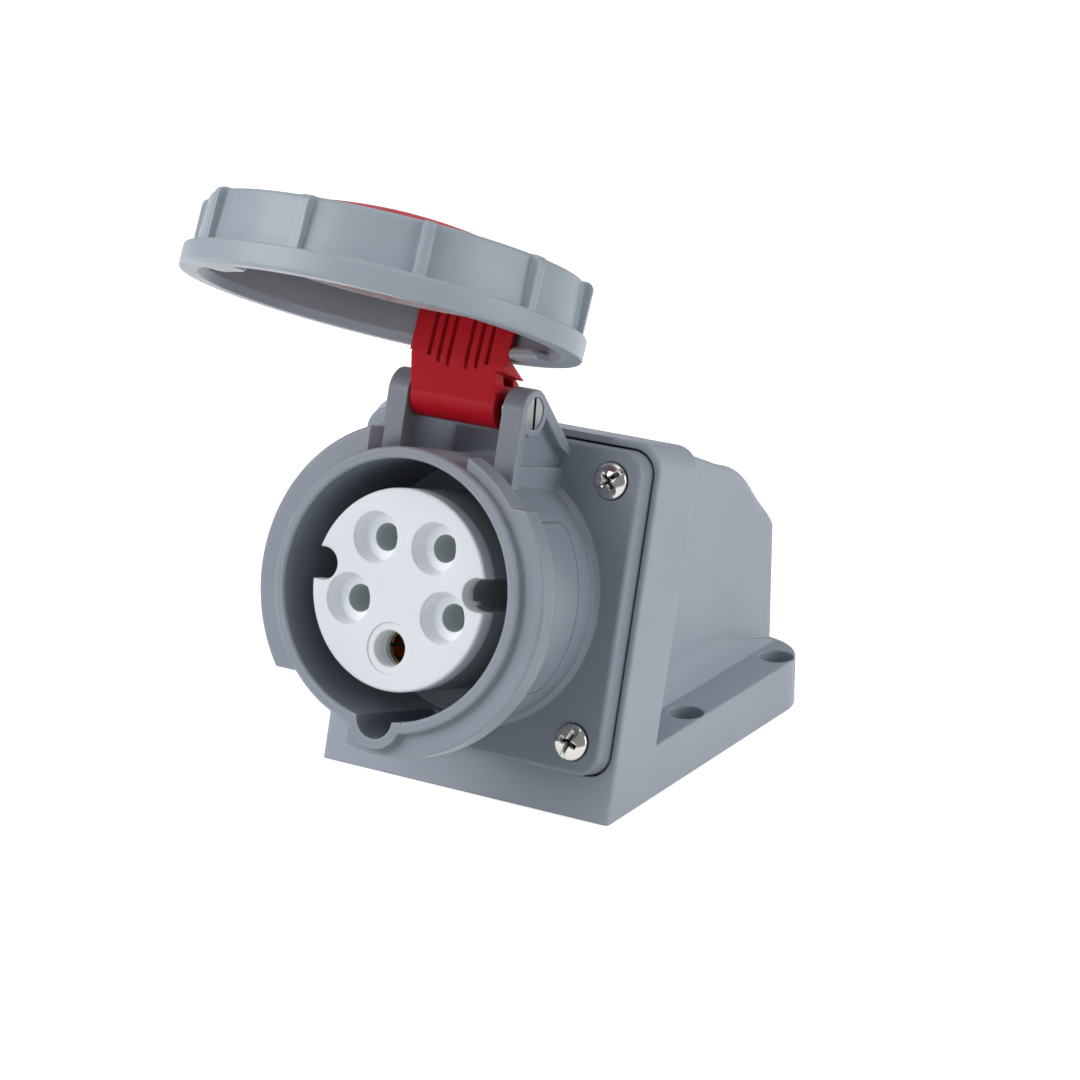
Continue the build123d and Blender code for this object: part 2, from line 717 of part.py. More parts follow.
def make_lid_ring():
    """Bayonet ring: rim band, ribbed wall, inward lip and two inner lugs."""
    lip_low = ring_top - ring_lip_thickness
    bead = ring_inner_radius - 0.6
    disc_low = lip_low - 0.2 - disc_edge_thickness
    points = [(ring_inner_radius, ring_mouth + 0.6), (ring_inner_radius, disc_low - 1.2),
              (bead, disc_low - 0.8), (bead, disc_low - 0.4), (ring_inner_radius, disc_low),
              (ring_inner_radius, lip_low), (ring_lip_radius, lip_low), (ring_lip_radius, ring_top - 0.5),
              (ring_lip_radius + 0.5, ring_top), (ring_top_radius - 1.5, ring_top),
              (ring_top_radius - 0.4, ring_top - 0.4), (ring_top_radius, ring_top - 1.5),
              (ring_wall_radius, ring_mouth + ring_band_height + 0.4),
              (ring_band_radius - 0.8, ring_mouth + ring_band_height),
              (ring_band_radius, ring_mouth + ring_band_height - 0.8), (ring_band_radius, ring_mouth + 1.0),
              (ring_band_radius - 1.0, ring_mouth), (ring_inner_radius + 0.6, ring_mouth)]
    ring = revolve(Plane.XZ * make_face(Polyline(*points, close=True)), Axis.Z)
    for index in range(rib_count):
        ring += make_rib(rib_phase + index * 360 / rib_count)
    lug_low = ring_mouth + 0.15
    for middle in (ring_lug_angle, ring_lug_angle + 180):
        ring += sector(ring_inner_radius + 0.5, ring_lug_inner, lug_low, lug_low + ring_lug_thickness,
                       middle, ring_lug_half_angle)
    return opened(ring)


def make_rib(angle):
    """One grip rib on the ring's wall, tapered across and rounded off at the top."""
    low = ring_mouth + ring_band_height - 1
    outer = ring_wall_radius + rib_rise
    half = rib_width / 2
    foot_r = ring_wall_radius - 1.5
    crest = half - rib_taper
    section = make_face(
        Polyline((foot_r, -half), (outer, -crest), (outer, crest), (foot_r, half), close=True))
    rib = prism(section, low, ring_top)
    cap_cut = side_prism(
        [(outer - 1.6, ring_top + 1), (outer - 1.6, ring_top), (outer - 0.6, ring_top - 1.2),
         (outer - 0.4, ring_top - 6), (outer + 2, low), (outer + 2, ring_top + 1)], -rib_width, rib_width)
    rib -= Rot(0, 0, -90) * cap_cut
    return Rot(0, 0, angle) * rib


def make_lid_cover():
    """Crowned disc with the neck and hinge knuckle, one moulding."""
    lip_low = ring_top - ring_lip_thickness
    edge_high = lip_low - 0.2
    edge_low = edge_high - disc_edge_thickness
    edge_radius = ring_inner_radius - disc_clearance
    center_radius = ring_lip_radius - disc_clearance
    crown_low = ring_top - 0.4
    underside = lid_gasket_inner - 1
    rim = center_radius - 0.6
    dome_radius = (rim ** 2 + disc_crown ** 2) / (2 * disc_crown)
    dome_center = crown_low + disc_crown - dome_radius

    def dome_height(radius, depth):
        """Height of the dome's outer face, or of a face parallel to it, at a radius."""
        return dome_center + sqrt((dome_radius - depth) ** 2 - radius ** 2)

    inner = underside - 1
    profile = Polyline(
        (inner, dome_height(inner, cover_wall)), (underside, edge_low), (edge_radius, edge_low),
        (edge_radius, edge_high), (center_radius, edge_high), (center_radius, crown_low - 0.5),
        (rim, crown_low))
    profile += ThreePointArc((rim, crown_low), (rim / 2, dome_height(rim / 2, 0)), (0, dome_height(0, 0)))
    profile += Line((0, dome_height(0, 0)), (0, dome_height(0, cover_wall)))
    profile += ThreePointArc(
        (0, dome_height(0, cover_wall)), (inner / 2, dome_height(inner / 2, cover_wall)),
        (inner, dome_height(inner, cover_wall)))
    cover = revolve(Plane.XZ * make_face(profile), Axis.Z)
    return opened(cover + make_neck(edge_low))


def make_neck(disc_underside):
    """Neck that leaves the ring's mouth and turns into the hinge knuckle."""
    outer_radius = ring_inner_radius - 1.0
    upper = Circle(outer_radius) & (Pos(0, neck_inner_radius + 10) * Rectangle(2 * neck_half_width, 20))
    neck = prism(upper, ring_mouth - 1.6, disc_underside + 0.5)

    front = hinge_rise - knuckle_radius
    mouth = ring_mouth - 0.5
    arm = [(neck_inner_radius, mouth), (neck_inner_radius, mouth - 1.8), (front, hinge_height),
           (hinge_rise, hinge_height - 2), (hinge_rise + knuckle_radius, hinge_height),
           (hinge_rise + knuckle_radius, hinge_height + 2.5), (hinge_rise + 3.6, hinge_height + 6.9),
           (outer_radius - 0.4, mouth)]
    neck += side_prism(arm, -neck_low_half_width, neck_low_half_width)
    neck += x_cylinder(knuckle_radius, -neck_low_half_width, neck_low_half_width)
    hollow = [(front + 1.0, mouth - 3.4), (hinge_rise + 0.6, hinge_height + 7.2),
              (hinge_rise + 1.6, hinge_height + 5.6), (front + 2.2, hinge_height + 5.0)]
    neck -= side_prism(hollow, 3 - neck_low_half_width, neck_low_half_width + 1)

    # The spring takes the right end of the knuckle.
    corner = (Align.MIN, Align.MIN, Align.MIN)
    low = hinge_height - 2 * knuckle_radius
    reach = 4 * knuckle_radius
    neck -= Pos(knuckle_right, hinge_rise - reach / 2, low) * Box(
        reach, reach, hinge_height + spring_room - low, align=corner)
    neck -= x_cylinder(pin_radius + running_clearance, -20, 20)
    for index in range(neck_groove_count):
        x = (neck_land_width + neck_groove_width) / 2 + index * neck_groove_pitch
        low = hinge_height + 6.7 + 0.03 * x ** 2
        groove = Box(neck_groove_width, 8, disc_underside - 4 - low, align=NEAR)
        for hand in (-1, 1):
            neck -= Pos(hand * x, neck_inner_radius - 4 + neck_groove_depth, low) * groove
    return neck


def make_lid_gasket():
    """Gasket ring under the disc: it meets the shroud's rim and its lip reaches round the rim."""
    edge_low = ring_top - ring_lip_thickness - 0.2 - disc_edge_thickness
    outer = neck_inner_radius - 0.3
    face = shroud_height + lid_gasket_gap
    ring = tube(outer, lid_gasket_inner, face, edge_low)
    ring += tube(outer, outer - lid_gasket_lip, face - lid_gasket_lip_depth, face + 1)
    notch = keyway_radius + keyway_wall + keyway_gap
    ring -= disc(notch, face - 2 * lid_gasket_lip_depth, face, 0, -keyway_center)
    return opened(ring)


def make_entry_plug():
    """Blanking plug in the cable entry, with a bar to turn it by."""
    face = entry_pad + 1.0
    plug = rear_disc(entry_radius - running_clearance, -plug_length, face)
    plug += rear_disc(plug_flange_radius, face, face + plug_flange_thickness)
    plug -= rear_disc(entry_radius - 2 * running_clearance - 2.2, -plug_length - 1, -1.5)
    slot = Pos(0, bolts_to_rear + face + plug_flange_thickness, entry_height) * Box(20, 3.0, 2.6)
    return plug - slot


def make_entry_seal():
    """Flat seal under the plug's flange."""
    return rear_disc(plug_flange_radius - 0.6, entry_pad, entry_pad + 1.0) - rear_disc(
        entry_radius + 0.2, 0, entry_pad + 2)


def write_parts():
    os.makedirs("parts", exist_ok=True)
    nodes = {
        "back_box": make_back_box(),
        "cover_gasket": make_cover_gasket(),
        "socket_housing": make_socket_housing(),
        "flange_screws": make_flange_screws(),
        "contact_face": make_contact_face(),
        "contact_carrier": make_contact_carrier(),
        "sleeve_rings": make_sleeve_rings(),
        "terminal_screws": make_terminal_screws(),
        "carrier_screws": make_carrier_screws(),
        "insert_seal": make_insert_seal(),
        "hinge_pin": make_hinge_pin(),
        "hinge_spring": make_hinge_spring(),
        "lid_ring": make_lid_ring(),
        "lid_cover": make_lid_cover(),
        "lid_gasket": make_lid_gasket(),
        "entry_plug": make_entry_plug(),
        "entry_seal": make_entry_seal(),
    }
    for name in contact_angles:
        nodes["sleeve_" + name] = make_sleeve(name)
    for name, shape in nodes.items():
        export_step(shape, "parts/" + name + ".step")


write_parts()
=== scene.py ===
from math import cos, pi, radians, sin, tan

import bmesh
import bpy
from mathutils import Matrix, Vector


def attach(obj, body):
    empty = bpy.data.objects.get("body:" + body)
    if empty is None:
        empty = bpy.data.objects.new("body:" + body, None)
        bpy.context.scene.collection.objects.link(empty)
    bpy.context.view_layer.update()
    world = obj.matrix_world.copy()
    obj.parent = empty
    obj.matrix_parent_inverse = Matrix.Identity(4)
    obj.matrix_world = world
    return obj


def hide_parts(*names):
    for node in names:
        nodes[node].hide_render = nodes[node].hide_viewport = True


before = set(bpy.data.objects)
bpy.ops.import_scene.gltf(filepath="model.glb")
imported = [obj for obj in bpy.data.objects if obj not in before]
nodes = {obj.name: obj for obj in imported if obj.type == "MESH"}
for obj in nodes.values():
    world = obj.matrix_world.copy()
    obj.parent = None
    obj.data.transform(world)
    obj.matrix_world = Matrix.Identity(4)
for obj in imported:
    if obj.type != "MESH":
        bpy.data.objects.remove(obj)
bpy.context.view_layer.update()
mm = 0.001
print("frame loaded:", len(nodes), "nodes")

# the socket's own frame: x across, v up the slope, h out along the socket's axis
socket = {"tilt": 15.8, "frontY": -74.4, "rise": 53.1, "openAngle": 99.7, "pinV": 47.6, "pinH": 25.4}
tiltAngle = radians(socket["tilt"])


def slopePoint(x, v, h):
    rise = socket["rise"] + v
    y = socket["frontY"] + rise * sin(tiltAngle) - h * cos(tiltAngle)
    z = rise * cos(tiltAngle) + h * sin(tiltAngle)
    return Vector((x, y, z)) * mm


socketMatrix = Matrix.Translation(slopePoint(0, 0, 0)) @ Matrix.Rotation(pi / 2 - tiltAngle, 4, "X")
pinPoint = slopePoint(0, socket["pinV"], socket["pinH"])
swing = Matrix.Rotation(-radians(socket["openAngle"]), 4, "X")
lidMatrix = Matrix.Translation(pinPoint) @ swing @ Matrix.Translation(-pinPoint) @ socketMatrix


# a number, vector or colour is written on the socket, and another node's output is linked to it
def feed(tree, target, value):
    if isinstance(value, (int, float, tuple)):
        target.default_value = value
    else:
        tree.links.new(value, target)


def placeNode(tree, kind, inputs, settings):
    node = tree.nodes.new(kind)
    for key, value in settings.items():
        setattr(node, key, value)
    for label, value in inputs:
        feed(tree, node.inputs[label], value)
    return node


def addNode(tree, kind, *inputs, **settings):
    return placeNode(tree, "ShaderNode" + kind, inputs, settings)


def geoNode(tree, kind, *inputs, **settings):
    return placeNode(tree, "GeometryNode" + kind, inputs, settings)


def mathNode(tree, operation, *values, clamp=False):
    return addNode(tree, "Math", *enumerate(values), operation=operation, use_clamp=clamp).outputs[0]


def vectorNode(tree, operation, *values):
    return addNode(tree, "VectorMath", *enumerate(values), operation=operation)


# the colour sockets of a Mix node are its inputs 6 and 7 and its output 2
def mixColour(tree, factor, first, second):
    return addNode(tree, "Mix", (0, factor), (6, first), (7, second), data_type="RGBA").outputs[2]


def mapRange(tree, value, low, high, newLow=0.0, newHigh=1.0):
    node = addNode(tree, "MapRange", ("Value", value), ("From Min", low), ("From Max", high),
                   ("To Min", newLow), ("To Max", newHigh))
    return node.outputs["Result"]


def noiseNode(tree, vector, scale, detail=2.0, rough=0.5):
    node = addNode(tree, "TexNoise", ("Vector", vector), ("Scale", scale), ("Detail", detail),
                   ("Roughness", rough))
    return node.outputs["Fac"]


def newGroup(name, inputs, outputs):
    group = bpy.data.node_groups.new(name, "ShaderNodeTree")
    for label, kind, value in inputs:
        item = group.interface.new_socket(label, in_out="INPUT", socket_type="NodeSocket" + kind)
        if value is not None:
            item.default_value = value
    for label, kind in outputs:
        group.interface.new_socket(label, in_out="OUTPUT", socket_type="NodeSocket" + kind)
    return group, group.nodes.new("NodeGroupInput").outputs, group.nodes.new("NodeGroupOutput").inputs


midGrey = (0.5, 0.5, 0.5, 1)


# fine texture of a moulding tool's wall, as a height
def buildMouldGrain():
    group, given, result = newGroup(
        "mouldGrain",
        [("Vector", "Vector", None), ("Grain Scale", "Float", 2600.0), ("Wave Scale", "Float", 34.0),
         ("Wave Share", "Float", 0.35)],
        [("Height", "Float")])
    fine = noiseNode(group, given["Vector"], given["Grain Scale"], detail=3.0, rough=0.6)
    wave = noiseNode(group, given["Vector"], given["Wave Scale"], detail=2.0, rough=0.45)
    wave = mathNode(group, "MULTIPLY", wave, given["Wave Share"])
    feed(group, result["Height"], mathNode(group, "ADD", fine, wave))
    return group


# slow drift of tone over a surface, with faint specks
def buildToneDrift():
    group, given, result = newGroup(
        "toneDrift",
        [("Vector", "Vector", None), ("Colour", "Color", midGrey), ("Amount", "Float", 0.06),
         ("Scale", "Float", 22.0), ("Specks", "Float", 0.05)],
        [("Colour", "Color")])
    slow = noiseNode(group, given["Vector"], given["Scale"], detail=3.0, rough=0.55)
    slow = mapRange(group, slow, low=0.32, high=0.68, newLow=-1.0)
    speck = noiseNode(group, given["Vector"], scale=900.0, rough=0.7)
    speck = mapRange(group, speck, low=0.66, high=0.78)
    light = mathNode(group, "MULTIPLY", slow, given["Amount"])
    dark = mathNode(group, "MULTIPLY", speck, given["Specks"])
    level = mathNode(group, "SUBTRACT", mathNode(group, "ADD", light, 1.0), dark)
    scaled = vectorNode(group, "SCALE", given["Colour"])
    feed(group, scaled.inputs["Scale"], level)
    feed(group, result["Colour"], scaled.outputs[0])
    return group


# painted edge highlight: paler where a rounded copy of the surface turns away from the real one, in patches
def buildPaintedEdgeHighlight():
    group, given, result = newGroup(
        "edgeRub",
        [("Colour", "Color", midGrey), ("Edge Colour", "Color", (0.7, 0.7, 0.7, 1)),
         ("Amount", "Float", 0.5), ("Vector", "Vector", None)],
        [("Colour", "Color")])
    bevel = addNode(group, "Bevel", ("Radius", 0.0011), samples=4)
    plain = addNode(group, "NewGeometry")
    likeness = vectorNode(group, "DOT_PRODUCT", bevel.outputs["Normal"], plain.outputs["Normal"])
    turned = mapRange(group, likeness.outputs["Value"], low=0.992, high=0.90)
    patchy = noiseNode(group, given["Vector"], scale=160.0, detail=4.0, rough=0.6)
    patchy = mapRange(group, patchy, low=0.35, high=0.62, newLow=0.35)
    mask = mathNode(group, "MULTIPLY", turned, patchy)
    mask = mathNode(group, "MULTIPLY", mask, given["Amount"], clamp=True)
    feed(group, result["Colour"], mixColour(group, mask, given["Colour"], given["Edge Colour"]))
    return group


# dust that settles in corners
def buildCornerDust():
    group, given, result = newGroup(
        "cornerDust",
        [("Colour", "Color", midGrey), ("Dust", "Color", (0.62, 0.60, 0.57, 1)),
         ("Amount", "Float", 0.2), ("Vector", "Vector", None)],
        [("Colour", "Color")])
    hidden = addNode(group, "AmbientOcclusion", ("Distance", 0.004), samples=4)
    corner = mapRange(group, hidden.outputs["AO"], low=0.75, high=0.2)
    spread = noiseNode(group, given["Vector"], scale=300.0, detail=4.0, rough=0.65)
    spread = mapRange(group, spread, low=0.4, high=0.7)
    mask = mathNode(group, "MULTIPLY", corner, spread)
    mask = mathNode(group, "MULTIPLY", mask, given["Amount"], clamp=True)
    feed(group, result["Colour"], mixColour(group, mask, given["Colour"], given["Dust"]))
    return group


# the white insert: lengths in mm from the socket's origin and its axis, its milky look, and the painted light
# and shade in its wells
insertLook = {"face": 44.9, "wellDepth": 5.5, "reach": 22.3, "reachFade": 0.3,
              "wallFrom": 0.1, "wallTo": 1.3, "ledgeFrom": -0.35, "ledgeTo": -0.1,
              "holeFrom": 0.05, "holeTo": 0.3, "pale": (0.82, 0.84, 0.86), "hole": (0.25, 0.27, 0.265),
              "wallGlow": (0.030, 0.036, 0.038), "stepGlow": (0.13, 0.14, 0.15),
              "holeGlow": (0.070, 0.086, 0.092), "milk": 0.35, "milkColours": (1.0, 1.0, 0.95),
              "milkScale": 0.0035}


# painted light and shade in the insert's wells, by depth below its face: paler walls with a faint painted
# glow, a brighter painted glow on the step, and a dark painted-shade colour with a faint glow in the holes
def buildPaintedWellLight(look):
    group, given, result = newGroup(
        "wellLight",
        [("Vector", "Vector", None), ("Colour", "Color", (0.6, 0.6, 0.6, 1)),
         ("Pale", "Color", look["pale"] + (1,))],
        [("Colour", "Color"), ("Glow", "Color")])
    inward = (0, cos(tiltAngle), -sin(tiltAngle))
    fromFace = vectorNode(group, "SUBTRACT", given["Vector"], tuple(slopePoint(0, 0, look["face"])))
    depth = vectorNode(group, "DOT_PRODUCT", fromFace.outputs[0], inward).outputs["Value"]
    across = vectorNode(group, "CROSS_PRODUCT", fromFace.outputs[0], inward)
    radius = vectorNode(group, "LENGTH", across.outputs[0]).outputs["Value"]
    inside = mapRange(group, radius, (look["reach"] + look["reachFade"]) * mm, look["reach"] * mm)

    def deeperThan(start, end):
        return mathNode(group, "MULTIPLY", mapRange(group, depth, start * mm, end * mm), inside)

    step = look["wellDepth"]
    wall = deeperThan(look["wallFrom"], look["wallTo"])
    ledge = deeperThan(step + look["ledgeFrom"], step + look["ledgeTo"])
    hole = deeperThan(step + look["holeFrom"], step + look["holeTo"])
    # the paler walls are painted light, and the hole's dark colour is painted shade
    colour = mixColour(group, wall, given["Colour"], given["Pale"])
    feed(group, result["Colour"], mixColour(group, hole, colour, look["hole"] + (1,)))
    # these glows are painted light: the insert is no lamp
    glow = mixColour(group, wall, (0, 0, 0, 1), look["wallGlow"] + (1,))
    glow = mixColour(group, ledge, glow, look["stepGlow"] + (1,))
    feed(group, result["Glow"], mixColour(group, hole, glow, look["holeGlow"] + (1,)))
    return group


mouldGrain = buildMouldGrain()
toneDrift = buildToneDrift()
edgeRub = buildPaintedEdgeHighlight()
cornerDust = buildCornerDust()
wellLight = buildPaintedWellLight(insertLook)
print("shader groups built")


def startMaterial(name):
    material = bpy.data.materials.new(name)
    material.use_nodes = True
    tree = material.node_tree
    return material, tree, tree.nodes["Principled BSDF"].inputs


def placeGroup(tree, group, **values):
    node = tree.nodes.new("ShaderNodeGroup")
    node.node_tree = group
    for key, value in values.items():
        feed(tree, node.inputs[key.replace("_", " ")], value)
    return node.outputs


def bumpSurface(tree, shader, height, strength, distance=0.0002, bevel=0.0):
    bump = addNode(tree, "Bump", ("Strength", strength), ("Distance", distance), ("Height", height))
    if bevel > 0:
        rounded = addNode(tree, "Bevel", ("Radius", bevel), samples=4)
        feed(tree, bump.inputs["Normal"], rounded.outputs["Normal"])
    feed(tree, shader["Normal"], bump.outputs["Normal"])


def mouldedPlastic(name, colour, edge, roughness=0.42, grain=0.06, drift=0.05, edgeHighlight=0.5, dust=0.2,
                   bevel=0.0006, specular=0.5, wells=None):
    material, tree, shader = startMaterial(name)
    place = addNode(tree, "TexCoord").outputs["Object"]
    tone = placeGroup(tree, toneDrift, Vector=place, Colour=colour + (1,), Amount=drift)["Colour"]
    # the edges get a painted highlight in the edge colour
    highlighted = placeGroup(tree, edgeRub, Vector=place, Colour=tone, Edge_Colour=edge + (1,), Amount=edgeHighlight)
    # the insert's wells get painted light and shade, with a painted glow as emission
    if wells:
        top = placeGroup(tree, wellLight, Vector=place, Colour=highlighted["Colour"])
        feed(tree, shader["Emission Color"], top["Glow"])
        feed(tree, shader["Emission Strength"], 1.0)
        feed(tree, shader["Subsurface Weight"], wells["milk"])
        feed(tree, shader["Subsurface Radius"], wells["milkColours"])
        feed(tree, shader["Subsurface Scale"], wells["milkScale"])
    else:
        top = placeGroup(tree, cornerDust, Vector=place, Colour=highlighted["Colour"], Amount=dust)
    feed(tree, shader["Base Color"], top["Colour"])
    uneven = noiseNode(tree, place, scale=120.0, detail=3.0, rough=0.6)
    feed(tree, shader["Roughness"], mapRange(tree, uneven, 0.3, 0.7, roughness - 0.05, roughness + 0.06))
    feed(tree, shader["Specular IOR Level"], specular)
    height = placeGroup(tree, mouldGrain, Vector=place)["Height"]
    bumpSurface(tree, shader, height, grain, bevel=bevel)
    return material


def softRubber(name, colour, roughness=0.7):
    material, tree, shader = startMaterial(name)
    place = addNode(tree, "TexCoord").outputs["Object"]
    tone = placeGroup(tree, toneDrift, Vector=place, Colour=colour + (1,), Amount=0.08, Scale=60.0,
                      Specks=0.1)
    feed(tree, shader["Base Color"], tone["Colour"])
    uneven = noiseNode(tree, place, scale=200.0, detail=3.0)
    feed(tree, shader["Roughness"], mapRange(tree, uneven, 0.3, 0.7, roughness - 0.08, roughness + 0.08))
    height = placeGroup(tree, mouldGrain, Vector=place, Grain_Scale=1500.0)["Height"]
    bumpSurface(tree, shader, height, strength=0.15)
    return material


# pale gasket, pressed and stained in streaks by the rim it closes on
def stainedGasket(name, pale, stain, roughness=0.5):
    material, tree, shader = startMaterial(name)
    place = addNode(tree, "TexCoord").outputs["Object"]
    stretched = addNode(tree, "Mapping", ("Vector", place), ("Rotation", (0.0, 0.0, 0.35)),
                        ("Scale", (45.0, 420.0, 420.0))).outputs[0]
    streaks = noiseNode(tree, stretched, scale=1.0, detail=4.0, rough=0.65)
    streaks = mapRange(tree, streaks, low=0.42, high=0.60)
    patches = noiseNode(tree, place, scale=70.0, detail=3.0, rough=0.6)
    patches = mapRange(tree, patches, low=0.40, high=0.62, newLow=0.25)
    mask = mathNode(tree, "MULTIPLY", streaks, patches, clamp=True)
    stained = mixColour(tree, mask, pale + (1,), stain + (1,))
    tone = placeGroup(tree, toneDrift, Vector=place, Colour=stained, Amount=0.05, Scale=90.0)
    feed(tree, shader["Base Color"], tone["Colour"])
    feed(tree, shader["Roughness"], mapRange(tree, mask, 0.0, 1.0, roughness, roughness + 0.15))
    height = placeGroup(tree, mouldGrain, Vector=place, Grain_Scale=1500.0)["Height"]
    bumpSurface(tree, shader, height, strength=0.12)
    return material


# turned metal, with fine brushing and painted shade darkening its recesses
def turnedMetal(name, colour, roughness, brushScale=700.0, brush=0.08, drift=0.06, recessShade=0.9):
    material, tree, shader = startMaterial(name)
    place = addNode(tree, "TexCoord").outputs["Object"]
    tone = placeGroup(tree, toneDrift, Vector=place, Colour=colour + (1,), Amount=drift, Scale=180.0)
    # painted shade: recesses found by ambient occlusion turn nearly black
    hidden = addNode(tree, "AmbientOcclusion", ("Distance", 0.0022), samples=4)
    recess = mapRange(tree, hidden.outputs["AO"], low=0.80, high=0.35, newHigh=recessShade)
    dark = (colour[0] * 0.07, colour[1] * 0.065, colour[2] * 0.06, 1)
    feed(tree, shader["Base Color"], mixColour(tree, recess, tone["Colour"], dark))
    feed(tree, shader["Metallic"], 1.0)
    streaks = noiseNode(tree, place, brushScale, detail=4.0, rough=0.6)
    feed(tree, shader["Roughness"], mapRange(tree, streaks, 0.3, 0.7, roughness * 0.75, roughness * 1.3))
    bumpSurface(tree, shader, streaks, brush, distance=0.0001, bevel=0.00018)
    return material


# each moulded plastic's second colour is its painted edge highlight
finishes = {
    "boxGrey": mouldedPlastic("boxGrey", (0.350, 0.392, 0.456), (0.60, 0.64, 0.70), bevel=0.0009, edgeHighlight=0.7),
    "housingGrey": mouldedPlastic("housingGrey", (0.243, 0.275, 0.328), (0.46, 0.50, 0.56), roughness=0.38,
                                  edgeHighlight=0.6),
    "ringGrey": mouldedPlastic("ringGrey", (0.315, 0.360, 0.410), (0.52, 0.57, 0.63), roughness=0.36,
                               edgeHighlight=0.65, bevel=0.0003),
    "lidRed": mouldedPlastic("lidRed", (0.57, 0.0078, 0.0200), (0.66, 0.05, 0.07), roughness=0.40,
                             drift=0.04, edgeHighlight=0.3, dust=0.04, bevel=0.0008, specular=0.15),
    "insertWhite": mouldedPlastic("insertWhite", (0.745, 0.775, 0.82), (0.79, 0.82, 0.86), roughness=0.48,
                                  edgeHighlight=0.2, wells=insertLook),
    "carrierDark": mouldedPlastic("carrierDark", (0.30, 0.325, 0.33), (0.40, 0.42, 0.43), roughness=0.36),
    "gasketBlack": softRubber("gasketBlack", (0.012, 0.012, 0.014)),
    "gasketPale": stainedGasket("gasketPale", (0.66, 0.60, 0.62), (0.50, 0.33, 0.33)),
    "contactBrass": turnedMetal("contactBrass", (0.62, 0.36, 0.14), 0.28),
    "screwNickel": turnedMetal("screwNickel", (0.60, 0.58, 0.55), 0.12, brush=0.03),
    "pinSteel": turnedMetal("pinSteel", (0.33, 0.34, 0.34), 0.30),
    "springSteel": turnedMetal("springSteel", (0.40, 0.40, 0.40), 0.30),
}

finishNodes = {
    "boxGrey": ["back_box", "entry_plug"],
    "housingGrey": ["socket_housing"],
    "ringGrey": ["lid_ring"],
    "lidRed": ["lid_cover"],
    "insertWhite": ["contact_face"],
    "carrierDark": ["contact_carrier"],
    "gasketBlack": ["cover_gasket", "insert_seal", "entry_seal"],
    "gasketPale": ["lid_gasket"],
    "contactBrass": ["sleeve_l1", "sleeve_l2", "sleeve_l3", "sleeve_neutral", "sleeve_earth"],
    "screwNickel": ["flange_screws"],
    "pinSteel": ["hinge_pin", "terminal_screws", "carrier_screws"],
    "springSteel": ["sleeve_rings", "hinge_spring"],
}
for finish, names in finishNodes.items():
    for name in names:
        nodes[name].data.materials.clear()
        nodes[name].data.materials.append(finishes[finish])
print("materials placed")


# a closed outline of (radius, height, rounding) corners, with each corner rounded
def roundPath(corners, steps=4):
    path = []
    count = len(corners)
    for index, (r, h, rounding) in enumerate(corners):
        here = Vector((r, h))
        back = Vector(corners[index - 1][:2]) - here
        ahead = Vector(corners[(index + 1) % count][:2]) - here
        turn = back.angle(ahead)
        reach = min(rounding / tan(turn / 2), 0.45 * back.length, 0.45 * ahead.length)
        start = here + back.normalized() * reach
        end = here + ahead.normalized() * reach
        for step in range(steps + 1):
            t = step / steps
            point = start * (1 - t) ** 2 + here * 2 * t * (1 - t) + end * t ** 2
            path.append((point.x, point.y))
    return path


def onCircle(radius, angle, height):
    return radius * cos(angle), radius * sin(angle), height


# joins each row of points to the next one, and the last to the first where the rows close
def skinRows(bm, rows, closed=False):
    following = rows[1:] + rows[:1] if closed else rows[1:]
    for first, second in zip(rows, following):
        for k in range(len(first)):
            after = (k + 1) % len(first)
            bm.faces.new((first[k], second[k], second[after], first[after]))


def addCaps(bm, rows):
    bm.faces.new(rows[0][::-1])
    bm.faces.new(rows[-1])


# makes a piece of a mesh in mm: faces outwards, smooth, with edges sharp beyond an angle
def meshPiece(name, bm, finish, sharp=32):
    bmesh.ops.scale(bm, vec=(mm, mm, mm), verts=bm.verts)
    bmesh.ops.recalc_face_normals(bm, faces=bm.faces)
    for face in bm.faces:
        face.smooth = True
    for edge in bm.edges:
        edge.smooth = len(edge.link_faces) == 2 and edge.calc_face_angle(0) < radians(sharp)
    mesh = bpy.data.meshes.new(name)
    bm.to_mesh(mesh)
    bm.free()
    mesh.materials.append(finishes[finish])
    return linkObject(name, mesh)


def linkObject(name, data):
    item = bpy.data.objects.new(name, data)
    bpy.context.scene.collection.objects.link(item)
    return item


# turns a piece and its modifiers into one plain mesh
def bakePiece(piece):
    graph = bpy.context.evaluated_depsgraph_get()
    mesh = bpy.data.meshes.new_from_object(piece.evaluated_get(graph))
    piece.modifiers.clear()
    old = piece.data
    piece.data = mesh
    mesh.name = old.name + "Mesh"
    bpy.data.meshes.remove(old)


def newNodeTree(name, inputs):
    tree = bpy.data.node_groups.new(name, "GeometryNodeTree")
    tree.interface.new_socket("Geometry", in_out="INPUT", socket_type="NodeSocketGeometry")
    identifiers = {}
    for label, kind in inputs:
        item = tree.interface.new_socket(label, in_out="INPUT", socket_type="NodeSocket" + kind)
        identifiers[label] = item.identifier
    tree.interface.new_socket("Geometry", in_out="OUTPUT", socket_type="NodeSocketGeometry")
    return tree, tree.nodes.new("NodeGroupInput").outputs, identifiers


# ends a tree in real geometry with its finish
def endTree(tree, geometry, finish):
    real = geoNode(tree, "RealizeInstances", ("Geometry", geometry))
    paint = geoNode(tree, "SetMaterial", ("Geometry", real.outputs[0]), ("Material", finish))
    feed(tree, tree.nodes.new("NodeGroupOutput").inputs[0], paint.outputs[0])


def runTree(piece, tree, identifiers, values):
    modifier = piece.modifiers.new(tree.name, "NODES")
    modifier.node_group = tree
    for label, value in values.items():
        modifier[identifiers[label]] = value
    bakePiece(piece)


